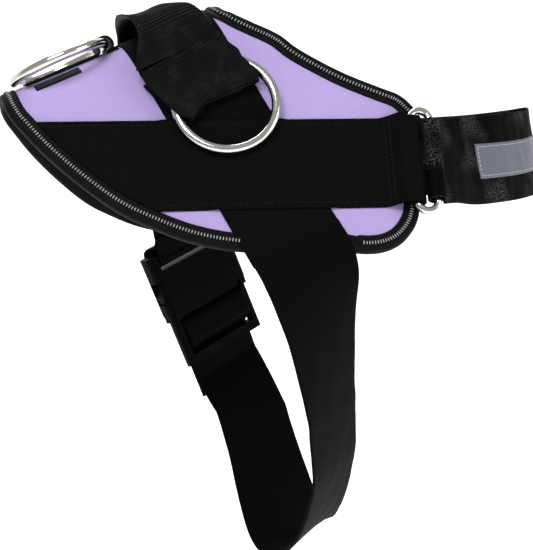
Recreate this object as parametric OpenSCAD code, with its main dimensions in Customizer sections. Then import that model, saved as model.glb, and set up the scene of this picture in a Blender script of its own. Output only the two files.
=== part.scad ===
// No-pull dog harness: padded saddle, webbing straps, rings and a side-release buckle.
// +X forward to the dog's chest, +Y the dog's left, +Z up. Origin: underside of the
// saddle's ridge, under the strap that crosses the back. All sizes in millimetres.

/* [Saddle] */
// radius of the fold over the dog's spine, at the inside face
ridge_r = 16; // [10:1:40]
// slope of the side panels below the fold, in degrees from level
side_slope = 62; // [50:1:80]
// upward lean of the ridge towards the chest, in degrees
ridge_lean = 9; // [0:1:15]
// thickness of the mesh lining
lining_t = 1.2; // [0.6:0.1:2]
// thickness of the foam sheet
foam_t = 3.2; // [2:0.2:8]
// thickness of the coloured outer cloth
cover_t = 0.8; // [0.5:0.1:1.5]
// width of the folded edge binding
binding_w = 8.5; // [6:0.5:14]
// width of the reflective cord sewn along the binding
cord_w = 2; // [1:0.5:4]

/* [Straps] */
// width of all main webbing
webbing_w = 50; // [38:1:50]
// thickness of a single layer of webbing
webbing_t = 1.4; // [1:0.1:2.4]
// downward slope of the side bands towards the chest, in degrees
band_slope = 13.5; // [5:0.5:20]
// height of the side band's middle at the girth strap
band_z = -66.5; // [-90:0.5:-50]
// forward slant of the back strap, in degrees
back_slant = 10.4; // [0:0.2:20]
// forward slant of the back strap on the buckle side, in degrees
buckle_side_slant = 3; // [0:0.2:20]
// lowest point of the girth loop
girth_z = -286; // [-340:1:-240]

/* [Rings] */
// outside diameter of the three round leash rings
ring_od = 56; // [45:1:70]
// wire diameter of the round rings
ring_wire = 5; // [4:0.5:7]
// clear length of the oval chest rings
oval_len = 51; // [40:1:56]
// clear width of the oval chest rings
oval_gap = 6; // [5.5:0.5:16]
// wire diameter of the oval rings
oval_wire = 4; // [3:0.5:6]

/* [Handle] */
// height of the handle's rear edge above the ridge origin line
handle_rear_z = 22; // [18:0.5:45]
// height of the handle's front edge
handle_front_z = 14; // [9:0.5:45]
// height of the handle's middle
handle_mid_z = 17.5; // [16:0.5:45]
// thickness of the doubled handle webbing
handle_t = 2.8; // [2:0.2:5]

/* [Buckle] */
// outside width of the buckle
buckle_w = 63; // [60:1:70]
// thickness of the female body
buckle_t = 13; // [12:0.5:18]
// length of the female body
female_len = 38; // [34:1:50]
// length of the male body below the female's mouth
male_len = 34; // [30:1:45]

/* [Hidden] */
$fn = 64;
eps = 0.05;
cover_top = lining_t + foam_t + cover_t;
strap_lo = cover_top + eps;
strap_hi = strap_lo + webbing_t;
band_hi = cover_top + 3;
loop_gap = ring_wire + 0.6;
ring_r = (ring_od - ring_wire) / 2;
ring_x = 6;
ring_w = 42;
rear_lo = strap_hi + 0.1;
ring_t = band_hi + ring_wire / 2 + 0.35;
front_lo = ring_t + ring_wire / 2 + 0.3;
back_ring_x = -57;
back_ring_z = 9.2;
back_ring_tilt = 7;
eye_x = back_ring_x + ring_r - 0.65;
cut_z = -206;
seat = [6.5, 92, -156];
seat_lean = -8;
seat_yaw = 22;

// ---- small maths helpers ----
function unit(v) = v / norm(v);
function flat(l) = [for (a = l) for (b = a) b];
function mirror_y(v) = [v[0], -v[1], v[2]];

// smooth curve through points, n steps per span
function spline_at(p, i, t) =
    let (a = p[max(i - 1, 0)], b = p[i], c = p[i + 1], d = p[min(i + 2, len(p) - 1)])
    0.5 * (2 * b + (c - a) * t + (2 * a - 5 * b + 4 * c - d) * t * t
        + (3 * b - a - 3 * c + d) * t * t * t);
function spline(p, n) = concat(
    [for (i = [0 : len(p) - 2]) for (k = [0 : n - 1]) spline_at(p, i, k / n)],
    [p[len(p) - 1]]);

// point of the right-hand side panel at height t above its inside face
function side_pt(x, z, t) =
    let (zp = z * cos(ridge_lean) - x * sin(ridge_lean), r = ridge_r + t,
        w = (r * cos(side_slope) - ridge_r - zp) / sin(side_slope))
    [x, -(r * sin(side_slope) + w * cos(side_slope)), z];
// the same in the leaning frame of the ridge, w measured down the panel
function panel_pt(x, w, t) =
    let (r = ridge_r + t)
    [x, -(r * sin(side_slope) + w * cos(side_slope)),
        r * cos(side_slope) - ridge_r - w * sin(side_slope)];

// ---- saddle outline, seen from the side ----
SHAPE = [[-92, -4], [-91.5, -18], [-88, -27], [-80.5, -42], [-69.5, -59], [-57, -75],
    [-44, -86.5], [-28, -98], [-8, -107.5], [20, -115.5], [42, -121], [54, -125],
    [64, -126], [74, -123.5], [84, -116], [91, -103], [99.5, -86], [106.5, -72],
    [106, -65.5], [101.5, -56.5], [93, -50], [77, -37.5], [61, -21.5], [54, -11.5],
    [42.5, -1.5], [35, 5.5], [31.5, 13]];
OUTLINE = concat([[-92, 60]], spline(SHAPE, 2), [[31, 60]]);

function inset(p, d) = [for (i = [0 : len(p) - 1])
    let (a = p[(i + len(p) - 1) % len(p)], b = p[i], c = p[(i + 1) % len(p)],
        n1 = unit([a[1] - b[1], b[0] - a[0]]), n2 = unit([b[1] - c[1], c[0] - b[0]]),
        m = unit(n1 + n2))
    b + m * d / max(m * n1, 0.5)];

module side_prism(p) {
    rotate([90, 0, 0])
        linear_extrude(height = 400, center = true)
            polygon(p);
}

// everything below the saddle surface raised by t
module arch_solid(t) {
    r = ridge_r + t;
    reach = 190;
    rotate([0, -ridge_lean, 0])
        translate([-140, 0, -ridge_r])
            rotate([90, 0, 90]) {
                cylinder(r = r, h = 300);
                linear_extrude(height = 300)
                    polygon([[-r * sin(side_slope), r * cos(side_slope)],
                        [r * sin(side_slope), r * cos(side_slope)],
                        [r * sin(side_slope) + reach * cos(side_slope),
                            r * cos(side_slope) - reach * sin(side_slope)],
                        [-r * sin(side_slope) - reach * cos(side_slope),
                            r * cos(side_slope) - reach * sin(side_slope)]]);
            }
}

module layer(t0, t1) {
    difference() {
        arch_solid(t1);
        arch_solid(t0);
    }
}

module mesh_lining() {
    color("#1c1c1e") intersection() {
        layer(0, lining_t);
        side_prism(inset(OUTLINE, 1));
    }
}

module foam_core() {
    color("#3a3a3c") intersection() {
        layer(lining_t + eps, lining_t + foam_t - eps);
        side_prism(inset(OUTLINE, 2));
    }
}

module outer_cover() {
    color("#c1b0e4") intersection() {
        layer(cover_top - cover_t, cover_top);
        side_prism(inset(OUTLINE, 1));
    }
}

// the strip seen from the side: middle line through p, direction a, width w
module strip(p, a, w) {
    translate([p[0], 0, p[1]])
        rotate([0, -a, 0])
            cube([500, 400, w], center = true);
}

module back_strip(grow) {
    intersection() {
        strip([0, 0], -90 + back_slant, webbing_w + 0.8 + 2 * grow);
        translate([-300, -400, -300]) cube([600, 400, 400]);
    }
    intersection() {
        strip([0, 0], -90 + buckle_side_slant, webbing_w + 0.2 + 2 * grow);
        translate([-300, 0, -300]) cube([600, 400, 400]);
    }
}

module band_strip(grow) {
    band_h = webbing_w * sin(side_slope) * 0.993;
    strip([0, band_z], -band_slope, band_h + 2 * grow);
}

module edge_binding() {
    color("#141415") difference() {
        intersection() {
            layer(-0.8, cover_top + 0.8);
            difference() {
                side_prism(OUTLINE);
                side_prism(inset(OUTLINE, binding_w));
            }
        }
        intersection() {
            layer(-eps, strap_lo);
            side_prism(inset(OUTLINE, 1 - eps));
        }
        strap_way(0.3);
    }
}

// room left in the binding where the back strap and the side bands pass over it
module strap_way(grow) {
    difference() {
        union() {
            intersection() {
                back_strip(grow);
                translate([-200, -200, -300]) cube([400, 400, 210]);
            }
            intersection() {
                band_strip(grow);
                translate([40, -200, -300]) cube([400, 400, 400]);
            }
        }
        arch_solid(cover_top);
    }
}

module reflective_cord() {
    color("#8d8f93") difference() {
        intersection() {
            layer(cover_top + 0.85, cover_top + 1.75);
            difference() {
                side_prism(inset(OUTLINE, 3.4));
                side_prism(inset(OUTLINE, 3.4 + cord_w));
            }
        }
        strap_way(0.4);
    }
}

module back_strap() {
    color("#18181a") intersection() {
        layer(strap_lo, strap_hi);
        back_strip(0);
        translate([-200, -200, -113]) cube([400, 400, 200]);
    }
}

// ---- side bands with the loop that holds the oval ring ----
oval_x = 91;
oval_t = 11.4;
// middle of the ring's rear bar, on the right-hand side
function oval_pt(x) = side_pt(x, band_z - x * tan(band_slope), oval_t);
oval_dir = unit(oval_pt(oval_x) - oval_pt(oval_x - 20));
panel_n = unit(cross(side_pt(70, -90, 5) - side_pt(50, -90, 5),
    side_pt(50, -90, 5) - side_pt(50, -110, 5)));
oval_up = unit(cross(panel_n, oval_dir));

// local frame at the ring's rear bar: x forward along the band, z up the bar
module at_oval(p) {
    z = oval_up;
    x = oval_dir;
    y = cross(z, x);
    multmatrix([[x[0], y[0], z[0], p[0]], [x[1], y[1], z[1], p[1]],
        [x[2], y[2], z[2], p[2]], [0, 0, 0, 1]])
        children();
}

module band_right(other_side = false) {
    difference() {
        intersection() {
            layer(strap_lo, band_hi);
            band_strip(0);
            union() {
                side_prism(inset(OUTLINE, binding_w + 0.1));
                translate([40, -200, -300]) cube([80, 400, 400]);
            }
            translate([-200, -400, -300]) cube([500, 400, 400]);
        }
        intersection() {
            layer(0, strap_hi + eps);
            mirror([0, other_side ? 1 : 0, 0]) back_strip(0.2);
        }
        at_oval(oval_pt(oval_x)) translate([-8, -60, -60]) cube([120, 120, 120]);
    }
    at_oval(oval_pt(oval_x)) difference() {
        union() {
            cylinder(r = 4.3, h = webbing_w - 2.4, center = true);
            rotate([0, 0, -25])
                translate([-12.2, -1.2, -(webbing_w - 3) / 2])
                    cube([12, 2.4, webbing_w - 3]);
        }
        cylinder(r = oval_wire / 2 + 0.9, h = 80, center = true);
    }
}

module side_band_right() {
    color("#18181a") band_right();
}

module side_band_left() {
    color("#18181a") mirror([0, 1, 0]) band_right(true);
}

module band_stitch() {
    n = 14;
    p = side_pt(oval_x - 12, band_z - (oval_x - 12) * tan(band_slope), band_hi + 0.3);
    at_oval(p)
        for (i = [0 : n - 1])
            translate([0, 0, -22 + i * 44 / (n - 1)])
                rotate([0, i % 2 == 0 ? 35 : -35, 0])
                    cube([0.5, 0.5, 3.4], center = true);
}

module band_stitch_right() {
    color("#2a2a2d") band_stitch();
}

module band_stitch_left() {
    color("#2a2a2d") mirror([0, 1, 0]) band_stitch();
}

// closed solid between two grids of points with the same rows and columns
module slab(top, bot) {
    r = len(top);
    c = len(top[0]);
    n = r * c;
    pts = concat(flat(top), flat(bot));
    faces = concat(
        [for (i = [0 : r - 2]) for (j = [0 : c - 2]) each
            [[i * c + j, i * c + j + 1, (i + 1) * c + j + 1],
            [i * c + j, (i + 1) * c + j + 1, (i + 1) * c + j]]],
        [for (i = [0 : r - 2]) for (j = [0 : c - 2]) each
            [[n + i * c + j, n + (i + 1) * c + j + 1, n + i * c + j + 1],
            [n + i * c + j, n + (i + 1) * c + j, n + (i + 1) * c + j + 1]]],
        [for (i = [0 : r - 2]) each
            [[i * c, (i + 1) * c, n + (i + 1) * c], [i * c, n + (i + 1) * c, n + i * c]]],
        [for (i = [0 : r - 2]) let (a = i * c + c - 1, b = a + c) each
            [[a, n + b, b], [a, n + a, n + b]]],
        [for (j = [0 : c - 2]) each [[j, n + j, n + j + 1], [j, n + j + 1, j + 1]]],
        [for (j = [0 : c - 2]) let (a = (r - 1) * c + j) each
            [[a, n + a + 1, n + a], [a, a + 1, n + a + 1]]]);
    polyhedron(points = pts, faces = faces, convexity = 6);
}

function tangent(p, i) = unit(p[min(i + 1, len(p) - 1)] - p[max(i - 1, 0)]);
function square_to(w, t) = unit(w - t * (w * t));

// flat webbing along a path: p middle points, wv width directions, w widths, t thickness.
// sheared webbing keeps its width directions as given, not square to the path
module ribbon(p, wv, w, t, sheared = false) {
    edge = [-0.5, 0.5];
    across = [for (i = [0 : len(p) - 1])
        sheared ? unit(wv[i]) : square_to(wv[i], tangent(p, i))];
    nor = [for (i = [0 : len(p) - 1])
        cross(square_to(wv[i], tangent(p, i)), tangent(p, i))];
    top = [for (i = [0 : len(p) - 1]) [for (e = edge)
        p[i] + across[i] * w[i] * e + nor[i] * t / 2]];
    bot = [for (i = [0 : len(p) - 1]) [for (e = edge)
        p[i] + across[i] * w[i] * e - nor[i] * t / 2]];
    slab(top, bot);
}

// ---- grab handle, drawn in the leaning frame of the ridge ----
// the rear edge stands high, the middle sags and the front edge curls down
function handle_z(a) = (handle_rear_z + handle_front_z) / 2
    + (handle_front_z - handle_rear_z) * a / 2
    + (1 - a * a) * (handle_mid_z - (handle_rear_z + handle_front_z) / 2 + 4.4 * a);
leg_x = -3.7;
arch_h = 18.5;
// place across the ridge x + a * w: the webbing is gathered at the grip
function handle_row(a, t) =
    let (k = handle_z(a) / arch_h,
        lo = panel_pt(0, 8, front_lo + t), hi = panel_pt(0, 1, front_lo + 0.6 + t),
        half = [[leg_x + a * 23.8, lo[1], lo[2]], [leg_x + 1.4 + a * 21.3, hi[1], hi[2]],
            [leg_x + 3.1 + a * 17.8, -27 - t, 7 * k],
            [leg_x + 2.3 + a * 16.4, -20 - 0.7 * t,
                (arch_h - handle_t - 3) * k + 0.7 * t],
            [leg_x + 0.2 + a * 15, -9, (arch_h - handle_t - 0.3) * k + t],
            [leg_x + 0.1 + a * 14.9, 0, (arch_h - handle_t) * k + t]],
        rest = [for (i = [len(half) - 2 : -1 : 0]) mirror_y(half[i])])
    spline(concat(half, rest), 4);
HANDLE_A = [-1, -0.6, -0.2, 0.2, 0.6, 1];

module grab_handle() {
    top = [for (a = HANDLE_A) handle_row(a, handle_t)];
    bot = [for (a = HANDLE_A) handle_row(a, 0)];
    color("#202022") rotate([0, -ridge_lean, 0]) slab(top, bot);
}

// webbing folded through the ring: front layer down, round the fold, rear layer up
module handle_loop() {
    mid_t = (rear_lo + front_lo + webbing_t) / 2;
    rad = (front_lo + webbing_t - rear_lo) / 2 - webbing_t / 2;
    low = ring_w - 8;
    line = concat(
        [for (k = [0 : 4]) [8.4 + k * (low - 8.4) / 5, mid_t + rad, 47.6 + k * 0.2]],
        [for (k = [0 : 8]) [low + rad * sin(k * 22.5), mid_t + rad * cos(k * 22.5), 43.6]],
        [for (k = [1 : 4]) [low - k * 6, mid_t - rad, 43.6 + k]]);
    p = [for (q = line) panel_pt(leg_x + (ring_x - 0.6 - leg_x) * min(q[0] / low, 1) ^ 2, q[0], q[1])];
    color("#202022") rotate([0, -ridge_lean, 0])
        ribbon(p, [for (q = line) [1, 0, 0]], [for (q = line) q[2]], webbing_t);
}

module handle_loop_right() {
    handle_loop();
}

module handle_loop_left() {
    mirror([0, 1, 0]) handle_loop();
}

module o_ring() {
    rotate_extrude($fn = 96)
        translate([ring_r, 0])
            circle(d = ring_wire, $fn = 32);
}

module leash_ring() {
    p = panel_pt(ring_x, ring_w, ring_t);
    color("#c9c6c0") rotate([0, -ridge_lean, 0])
        translate(p)
            rotate([side_slope, 0, 0])
                o_ring();
}

module leash_ring_right() {
    leash_ring();
}

module leash_ring_left() {
    mirror([0, 1, 0]) leash_ring();
}

// ---- rear ring, its webbing tab and the blank label ----
module back_ring() {
    color("#c9c6c0") rotate([0, -ridge_lean, 0])
        translate([back_ring_x, 0, back_ring_z])
            rotate([-back_ring_tilt, 0, 0])
                o_ring();
}

module ring_tab() {
    color("#18181a") rotate([0, -ridge_lean, 0]) difference() {
        union() {
            translate([-78, -8, -10]) cube([54, 16, 17.1]);
            translate([eye_x, 0, back_ring_z])
                rotate([90, 0, 0])
                    cylinder(r = 5.1, h = 16, center = true);
            translate([eye_x - 0.8, -8, 0]) cube([8, 16, back_ring_z - 3.4]);
        }
        translate([eye_x, 0, back_ring_z])
            rotate([90, 0, 0])
                cylinder(r = 3.95, h = 20, center = true);
        rotate([0, ridge_lean, 0]) arch_solid(strap_lo + 0.02);
        translate([-25.8, -30, -20]) cube([30, 60, 60]);
        translate([-79, -30, -20]) cube([60, 60, 20]);
        difference() {
            translate([-80, -9, -12]) cube([62, 18, 22]);
            rotate([0, ridge_lean, 0]) arch_solid(strap_lo + 1.3);
            translate([eye_x - 5, -9, 0]) cube([12, 18, 30]);
        }
    }
}

module label_patch() {
    color("#101011") rotate([0, -ridge_lean, 0]) intersection() {
        rotate([0, ridge_lean, 0]) layer(strap_lo, strap_lo + 1);
        translate([-75, -13.4, -40]) cube([25.5, 5, 60]);
    }
}

// ---- oval chest rings ----
module oval_ring() {
    h = oval_len / 2 - oval_gap / 2;
    r = (oval_gap + oval_wire) / 2;
    at_oval(oval_pt(oval_x)) translate([r, 0, 0]) {
        for (s = [-1, 1])
            translate([s * r, 0, 0]) cylinder(d = oval_wire, h = 2 * h, center = true);
        for (s = [-1, 1])
            translate([0, 0, s * h])
                rotate([s * 90, 0, 0])
                    rotate_extrude(angle = 180)
                        translate([r, 0])
                            circle(d = oval_wire, $fn = 32);
    }
}

module chest_ring_right() {
    color("#c9c6c0") oval_ring();
}

module chest_ring_left() {
    color("#c9c6c0") mirror([0, 1, 0]) oval_ring();
}

// ---- chest strap ----
bar2 = oval_pt(oval_x) + oval_dir * (oval_gap + oval_wire);
chest_dir = unit([82, 62, -22]);
chest_start = bar2 + chest_dir * 6.2;
CHEST_HALF = [chest_start, chest_start + chest_dir * 15, chest_start + chest_dir * 36,
    [160, -38, -105], [178, -25.5, -108], [191.5, -13, -109.5], [197.5, 0, -109.5]];
CHEST_W = [oval_up, oval_up, unit(oval_up + [-0.1, -0.12, 0.4]), unit([0.14, 0.16, 1]),
    unit([0.1, 0.08, 1]), unit([0.09, 0.03, 1]), unit([0.09, 0, 1])];
function both(l) = concat(l, [for (i = [len(l) - 2 : -1 : 0]) mirror_y(l[i])]);
CHEST_P = spline(both(CHEST_HALF), 5);
CHEST_WV = spline(both(CHEST_W), 5);

// eye of webbing round the oval ring's front bar
module chest_eye() {
    z = oval_up;
    x = square_to(chest_dir, z);
    y = cross(z, x);
    multmatrix([[x[0], y[0], z[0], bar2[0]], [x[1], y[1], z[1], bar2[1]],
        [x[2], y[2], z[2], bar2[2]], [0, 0, 0, 1]])
        children();
}

module chest_strap() {
    color("#18181a") {
        ribbon(CHEST_P, CHEST_WV, [for (q = CHEST_P) webbing_w - 1.6], 1.6, true);
    }
}

module reflective_patch() {
    n = len(CHEST_P);
    mid = (n - 1) / 2;
    idx = [for (i = [mid - 20 : mid + 20]) i];
    out = [for (i = idx) CHEST_P[i] - 1.2 * unit(cross(CHEST_WV[i], tangent(CHEST_P, i)))
        - CHEST_WV[i] * 1.0];
    color("#9a9ca0") ribbon(out, [for (i = idx) CHEST_WV[i]], [for (i = idx) 19], 0.5, true);
}

// turned-back strap end: the eye round the ring's bar and the hook-tape tab inside,
// slanting as the strap does
tab_h = (webbing_w - 6) / 2;
module chest_tab() {
    chest_eye() {
        difference() {
            cylinder(r = 5, h = webbing_w - 6, center = true);
            cylinder(r = 3.6, h = 80, center = true);
        }
        translate([0, 2.8, 0])
            rotate([90, 0, 0])
                linear_extrude(height = 1.4)
                    polygon([[4, 1.3 - tab_h], [23, 7.3 - tab_h], [23, 7.3 + tab_h],
                        [4, 1.3 + tab_h]]);
    }
}

module chest_tab_right() {
    color("#222225") chest_tab();
}

module chest_tab_left() {
    color("#222225") mirror([0, 1, 0]) chest_tab();
}

// ---- girth strap ----
N0 = side_pt(21.3, -114.4, strap_lo + 0.9);
N1 = side_pt(22.3, -120, strap_lo + 0.9);
NEAR = [N0, N1, [22.6, N1[1] - 2.6, -127], [22.5, -85.5, -138], [22, -83, -156],
    [20.5, -76, -190], [19.4, -71.8, cut_z]];
NEAR_TW = [-4.7, -4.7, 1, 12, 27, 39, 41];
LOOP = [[17, -61, -234], [11, -41, -262], [6, -19, -279],
    [4, 4, girth_z + 1], [6, 28, -279], [11, 55, -260], [14.5, 77, -230]];
LOOP_TW = [43, 41, 37, 32, 27, 24, 22];
GIRTH = spline(concat(NEAR, LOOP), 5);
GIRTH_TW = spline(concat(NEAR_TW, LOOP_TW), 5);
cut_i = 5 * (len(NEAR) - 1);
cut_dir = tangent(GIRTH, cut_i);

module girth_strap_top() {
    p = concat([for (i = [0 : cut_i - 2]) GIRTH[i]], [GIRTH[cut_i] - cut_dir * 2, GIRTH[cut_i]]);
    color("#18181a") ribbon(p, [for (i = [0 : cut_i]) [cos(GIRTH_TW[i]), sin(GIRTH_TW[i]), 0]],
        [for (q = p) webbing_w], webbing_t);
}

// strap path inside the buckle's own frame: y across its thickness, z up
BAR_PATH = [[5.2, -46], [4.6, -36], [4.4, -28], [0, -24.6], [-4.4, -21], [-4.7, -14],
    [-4.4, -7.6], [0, -5.2], [4.8, -5.6], [6.9, -9], [7, -20], [7, -38], [7.4, -58]];

function in_buckle(v) =
    let (a = v[0] * cos(seat_yaw) - v[1] * sin(seat_yaw),
        b = v[0] * sin(seat_yaw) + v[1] * cos(seat_yaw))
    seat + [a * cos(seat_lean) + v[2] * sin(seat_lean), b,
        v[2] * cos(seat_lean) - a * sin(seat_lean)];
bar_w = in_buckle([1, 0, 0]) - seat;

module girth_loop() {
    up = [for (q = spline(BAR_PATH, 4)) in_buckle([0, q[0], q[1]])];
    n = len(GIRTH);
    p = concat([GIRTH[cut_i] + cut_dir * 0.4, GIRTH[cut_i] + cut_dir * 2.4],
        [for (i = [cut_i + 2 : n - 1]) GIRTH[i]], up);
    wv = concat([for (i = [cut_i : n - 1]) [cos(GIRTH_TW[i]), sin(GIRTH_TW[i]), 0]],
        [for (q = up) bar_w]);
    color("#18181a") ribbon(p, wv, [for (q = p) webbing_w], webbing_t);
}

module in_seat() {
    translate(seat)
        rotate([0, seat_lean, 0])
            rotate([0, 0, seat_yaw])
                children();
}

// short strap from the saddle's left edge, round the female's bar
F0 = mirror_y(side_pt(5.9, -115.2, strap_lo + 0.9));
BAR_TURN = [[-8, 42.6], [2, 42.4], [7.4, 39.8], [8, 36], [5.6, 32], [0, 30.4],
    [-5.2, 32], [-5.6, 37.6]];
module buckle_strap() {
    turn = [for (q = spline(BAR_TURN, 4)) in_buckle([0, q[0], q[1]])];
    p = concat([F0], turn);
    w0 = [1, 0.083, -0.05];
    color("#18181a") ribbon(p, [for (i = [0 : len(p) - 1]) i == 0 ? w0 : bar_w],
        [for (q = p) webbing_w], webbing_t);
}

// ---- side-release buckle, in its own frame: mouth at z 0, female above ----
module rounded_block(w, t, z0, z1, r) {
    translate([0, 0, z0]) linear_extrude(height = z1 - z0) {
        square([w - 2 * r, t], center = true);
        square([w, t - 2 * r], center = true);
        for (sx = [-1, 1])
            for (sy = [-1, 1])
                translate([sx * (w / 2 - r), sy * (t / 2 - r)]) circle(r = r, $fn = 24);
    }
}

module buckle_female() {
    color("#161617") in_seat() difference() {
        rounded_block(buckle_w, buckle_t, 0.3, female_len, 4.5);
        translate([0, 0, 12]) cube([53, 8, 30], center = true);
        for (s = [-1, 1])
            translate([s * 33, 0, 15]) cube([18, 8, 14], center = true);
        translate([0, 0, 31.2]) cube([webbing_w + 1.4, 30, 5.6], center = true);
        translate([0, -buckle_t / 2, 36.6]) cube([webbing_w + 1.4, 6, 8], center = true);
        translate([0, buckle_t / 2, 36.6]) cube([webbing_w + 1.4, 6, 8], center = true);
    }
}

module buckle_male() {
    color("#161617") in_seat() difference() {
        union() {
            rounded_block(buckle_w - 3, 7, -male_len, 0, 2.5);
            rounded_block(buckle_w - 1, 11, -4, 0, 3);
            translate([-5, -2.5, 0]) cube([10, 5, 24]);
        }
        translate([0, 0, -5.4]) cube([webbing_w + 1.4, 30, 4], center = true);
        translate([0, 0, -24.4]) cube([webbing_w + 1.4, 30, 7.6], center = true);
        translate([0, -6.8, -9]) cube([webbing_w + 1.4, 6, 40], center = true);
        translate([0, 7.6, -9]) cube([webbing_w + 1.4, 8, 60], center = true);
    }
}

module prong(s) {
    in_seat() scale([s, 1, 1]) rotate([90, 0, 0])
        linear_extrude(height = 6.6, center = true)
            polygon([[17.5, 0.05], [22, 0.05], [23.2, 8.6], [30.4, 8.6], [30.8, 13], [27, 20],
                [21.5, 24], [19, 24], [19, 10]]);
}

module prong_front() {
    color("#161617") prong(1);
}

module prong_rear() {
    color("#161617") prong(-1);
}

mesh_lining();
foam_core();
outer_cover();
edge_binding();
reflective_cord();
back_strap();
side_band_right();
side_band_left();
band_stitch_right();
band_stitch_left();
grab_handle();
handle_loop_right();
handle_loop_left();
leash_ring_right();
leash_ring_left();
ring_tab();
back_ring();
label_patch();
chest_ring_right();
chest_ring_left();
chest_strap();
reflective_patch();
chest_tab_right();
chest_tab_left();
girth_strap_top();
girth_loop();
buckle_strap();
buckle_female();
buckle_male();
prong_front();
prong_rear();
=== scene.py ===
"""Looks of the no-pull dog harness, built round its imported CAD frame. Sizes below are in
millimetres in the row frame, and are turned into metres when a mesh is made."""
import math

import bpy
import numpy as np
from mathutils import Matrix, Vector


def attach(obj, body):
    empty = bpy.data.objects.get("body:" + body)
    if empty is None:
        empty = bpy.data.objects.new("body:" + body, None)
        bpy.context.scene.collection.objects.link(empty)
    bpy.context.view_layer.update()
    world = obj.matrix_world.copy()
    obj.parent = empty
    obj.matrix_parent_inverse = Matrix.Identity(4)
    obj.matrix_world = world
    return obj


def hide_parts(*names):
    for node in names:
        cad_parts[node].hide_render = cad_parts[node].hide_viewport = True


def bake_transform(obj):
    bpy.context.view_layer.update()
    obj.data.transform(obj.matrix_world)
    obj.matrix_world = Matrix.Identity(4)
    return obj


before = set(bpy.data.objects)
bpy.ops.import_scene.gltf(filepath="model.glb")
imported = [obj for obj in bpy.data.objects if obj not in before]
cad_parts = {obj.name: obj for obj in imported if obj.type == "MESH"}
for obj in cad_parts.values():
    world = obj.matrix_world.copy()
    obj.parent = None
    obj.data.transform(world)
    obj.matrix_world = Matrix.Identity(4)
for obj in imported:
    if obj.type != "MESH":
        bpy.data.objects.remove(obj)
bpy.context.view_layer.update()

# ---------------------------------------------------------------- the CAD's own shapes
# lean of the ridge, slope of the sides, inside radius of the ridge
LEAN, SLOPE, RIDGE = math.radians(9), math.radians(62), 16.0
# heights above the saddle's inside face: cover, strap's two faces, band's upper face
COVER = 5.2
STRAP_LO, STRAP_HI, BAND_HI = 5.25, 6.65, 8.2
# fall of the side bands, height of their middle at x = 0, slants of the back strap
BAND_SLOPE, BAND_Z = math.radians(13.5), -66.5
BACK_SLANT, BUCKLE_SLANT = math.radians(10.4), math.radians(3)
# radius along the cover, and the length of cloth from the ridge to the flat side
REF = RIDGE + COVER
ARC = REF * SLOPE
# side outline of the saddle (x, z), from the tail round the lower edge to the front
SHAPE = [(-92, 60), (-92, -4), (-91.5, -18), (-88, -27), (-80.5, -42), (-69.5, -59), (-57, -75),
         (-44, -86.5), (-28, -98), (-8, -107.5), (20, -115.5), (42, -121), (54, -125),
         (64, -126), (74, -123.5), (84, -116), (91, -103), (99.5, -86), (106.5, -72),
         (106, -65.5), (101.5, -56.5), (93, -50), (77, -37.5), (61, -21.5), (54, -11.5),
         (42.5, -1.5), (35, 5.5), (31.5, 13), (31, 60)]


def unit(v):
    v = np.asarray(v, float)
    return v / np.linalg.norm(v, axis=-1, keepdims=True)


def row(p):
    """Leaning frame of the ridge to the row frame."""
    x, y, z = p[..., 0], p[..., 1], p[..., 2]
    c, s = math.cos(LEAN), math.sin(LEAN)
    return np.stack([x * c - z * s, y, x * s + z * c], -1)


def surface(x, s, t):
    """Saddle point x along the ridge, s down the side (right side positive), t above the inside."""
    x, s, t = np.broadcast_arrays(np.asarray(x, float), np.asarray(s, float), np.asarray(t, float))
    a = np.abs(s)
    th = np.minimum(a / REF, SLOPE)
    w = np.maximum(a - ARC, 0)
    r = RIDGE + t
    y = r * np.sin(th) + w * math.cos(SLOPE)
    z = r * np.cos(th) - RIDGE - w * math.sin(SLOPE)
    return row(np.stack([x, -np.sign(s) * y, z], -1))


def s_of(zp, t=COVER):
    """How far down the side the height zp of the leaning frame is."""
    r = RIDGE + t
    zp = np.asarray(zp, float)
    knee = r * math.cos(SLOPE) - RIDGE
    th = np.arccos(np.clip((zp + RIDGE) / r, -1, 1))
    return np.where(zp > knee, REF * th, ARC + (knee - zp) / math.sin(SLOPE))


def spline(p, n):
    """Smooth curve through rows of points, n steps a span."""
    p = np.asarray(p, float)
    out = []
    for i in range(len(p) - 1):
        a, b, c, d = p[max(i - 1, 0)], p[i], p[i + 1], p[min(i + 2, len(p) - 1)]
        for k in range(n):
            t = k / n
            out.append(0.5 * (2 * b + (c - a) * t + (2 * a - 5 * b + 4 * c - d) * t * t
                              + (3 * b - a - 3 * c + d) * t ** 3))
    out.append(p[-1])
    return np.array(out)


def resample(p, step):
    """The same line with even steps."""
    p = np.asarray(p, float)
    d = np.r_[0, np.cumsum(np.linalg.norm(np.diff(p, axis=0), axis=1))]
    n = max(2, int(round(d[-1] / step)) + 1)
    at = np.linspace(0, d[-1], n)
    return np.stack([np.interp(at, d, p[:, k]) for k in range(p.shape[1])], -1)


def band_middle(x):
    """Height of a side band's middle line, seen from the side."""
    return BAND_Z - x * math.tan(BAND_SLOPE)


def half_loop():
    """Right half of the saddle's edge as (x, s), from the tail's ridge round to the front's."""
    p = resample(spline(SHAPE, 10), 0.25)
    c, s = math.cos(LEAN), math.sin(LEAN)
    xp, zp = p[:, 0] * c + p[:, 1] * s, -p[:, 0] * s + p[:, 1] * c
    keep = np.where(zp < COVER - 0.01)[0]
    xp, zp = xp[keep], zp[keep]
    sp = s_of(zp)
    q = np.stack([xp, sp], -1)
    return np.vstack([[xp[0], 0], q, [xp[-1], 0]])


def full_loop(step=1.0):
    """Closed edge of the saddle in (x, s), tail ridge, right side, front ridge, left side."""
    h = half_loop()
    other = h[::-1][1:-1] * [1, -1]
    return resample(np.vstack([h, other, h[:1]]), step)[:-1]


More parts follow.
